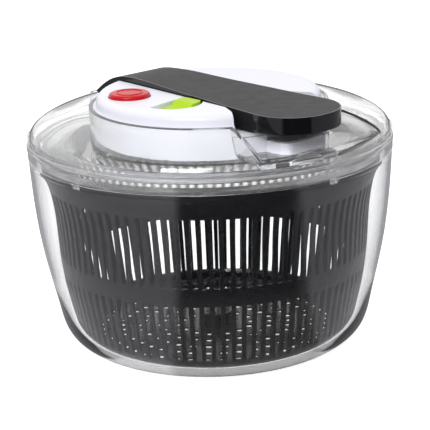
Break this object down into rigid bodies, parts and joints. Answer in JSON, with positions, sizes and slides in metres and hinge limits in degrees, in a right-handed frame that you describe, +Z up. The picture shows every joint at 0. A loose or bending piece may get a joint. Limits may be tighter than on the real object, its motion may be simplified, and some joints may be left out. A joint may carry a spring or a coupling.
{
  "type": "salad spinner",
  "caption": "Salad spinner: clear bowl and lid, dark slotted basket, geared press lever, red stop button and green lock.",
  "frame": {"origin": "centre of the bowl's foot, on the surface it stands on", "axes": "+Z up, the spin axis; +X from the spin axis to the lever's grip"},
  "size_m": [0.26, 0.26, 0.1885],
  "materials": {
    "clear_bowl": "clear polished plastic",
    "clear_lid": "clear polished plastic",
    "clear_cover": "clear plastic with a knurled edge",
    "basket": "dark moulded plastic, semi gloss",
    "white_base": "white plastic, satin",
    "white_cap": "white plastic, fine satin",
    "black_gloss": "black plastic, polished",
    "dark_matte": "dark grey plastic, fine matte texture",
    "red_plastic": "red plastic, gloss",
    "green_plastic": "lime green plastic, satin",
    "gear_plastic": "natural acetal",
    "grey_plastic": "grey plastic",
    "pad_rubber": "soft rubber",
    "steel": "turned steel",
    "spring_steel": "drawn spring wire",
    "brass": "sintered bronze"
  },
  "bodies": {
    "bowl_body": {"bowl": "clear_bowl"},
    "basket_body": {"basket": "basket"},
    "rotor": {"spinning_cover": "clear_cover", "output_hub": "grey_plastic", "hub_screws": "steel", "hub_nut": "steel", "output_shaft": "steel", "shaft_clip": "steel", "clutch_cup": "gear_plastic"},
    "lid": {"lid_shell": "clear_lid", "housing_base": "white_base", "housing_cover": "white_cap", "housing_screws": "steel", "hinge_pin": "steel", "gear_plate": "grey_plastic", "gear_plate_screws": "steel", "shaft_bushes": "brass", "first_axle": "steel", "second_axle": "steel", "return_spring": "spring_steel", "stop_spring": "spring_steel"},
    "lever": {"lever_frame": "black_gloss", "lever_cover": "dark_matte", "lever_screws": "steel", "drive_sector": "gear_plastic", "sector_key": "steel"},
    "rack": {"drive_rack": "gear_plastic"},
    "first": {"first_gear": "gear_plastic"},
    "second": {"second_gear": "gear_plastic"},
    "clutch": {"clutch_pinion": "gear_plastic", "clutch_rollers": "steel"},
    "stop": {"stop_button": "red_plastic", "brake_plunger": "grey_plastic", "brake_pad": "pad_rubber"},
    "lock": {"lock_slider": "green_plastic"}
  },
  "joints": [
    {"name": "lid_lift", "type": "slide", "parent": "bowl_body", "child": "lid", "axis": [0, 0, 1], "range_m": [0, 0.2]},
    {"name": "basket_spin", "type": "hinge", "parent": "bowl_body", "child": "basket_body", "pos_m": [0, 0, 0.0085], "axis": [0, 0, 1], "continuous": true},
    {"name": "cover_spin", "type": "hinge", "parent": "lid", "child": "rotor", "pos_m": [0, 0, 0.15], "axis": [0, 0, 1], "continuous": true},
    {"name": "lever_swing", "type": "hinge", "parent": "lid", "child": "lever", "pos_m": [-0.082, 0, 0.1725], "axis": [0, -1, 0], "range_deg": [0, 32]},
    {"name": "rack_slide", "type": "slide", "parent": "lid", "child": "rack", "axis": [1, 0, 0], "range_m": [0, 0.00655]},
    {"name": "first_spin", "type": "hinge", "parent": "lid", "child": "first", "pos_m": [-0.034, 0.01, 0.165], "axis": [0, 0, 1], "range_deg": [0, 62.56]},
    {"name": "second_spin", "type": "hinge", "parent": "lid", "child": "second", "pos_m": [-0.00885, 0.02231, 0.165], "axis": [0, 0, 1], "range_deg": [-229.39, 0]},
    {"name": "clutch_spin", "type": "hinge", "parent": "lid", "child": "clutch", "pos_m": [0, 0, 0.165], "axis": [0, 0, 1], "range_deg": [0, 688.16]},
    {"name": "stop_press", "type": "slide", "parent": "lid", "child": "stop", "axis": [0, 0, -1], "range_m": [0, 0.0032], "stiffness_N_per_m": 300, "springref_m": -0.001, "deforming": ["stop_spring"]},
    {"name": "lock_slide", "type": "slide", "parent": "lid", "child": "lock", "axis": [0, -1, 0], "range_m": [0, 0.008]}
  ],
  "couplings": [
    {"joint": "cover_spin", "follows": "basket_spin", "ratio": 1},
    {"joint": "rack_slide", "follows": "lever_swing", "m_per_rad": 0.0115},
    {"joint": "first_spin", "follows": "lever_swing", "ratio": 1.9167},
    {"joint": "second_spin", "follows": "lever_swing", "ratio": -7.0278},
    {"joint": "clutch_spin", "follows": "lever_swing", "ratio": 21.083}
  ]
}
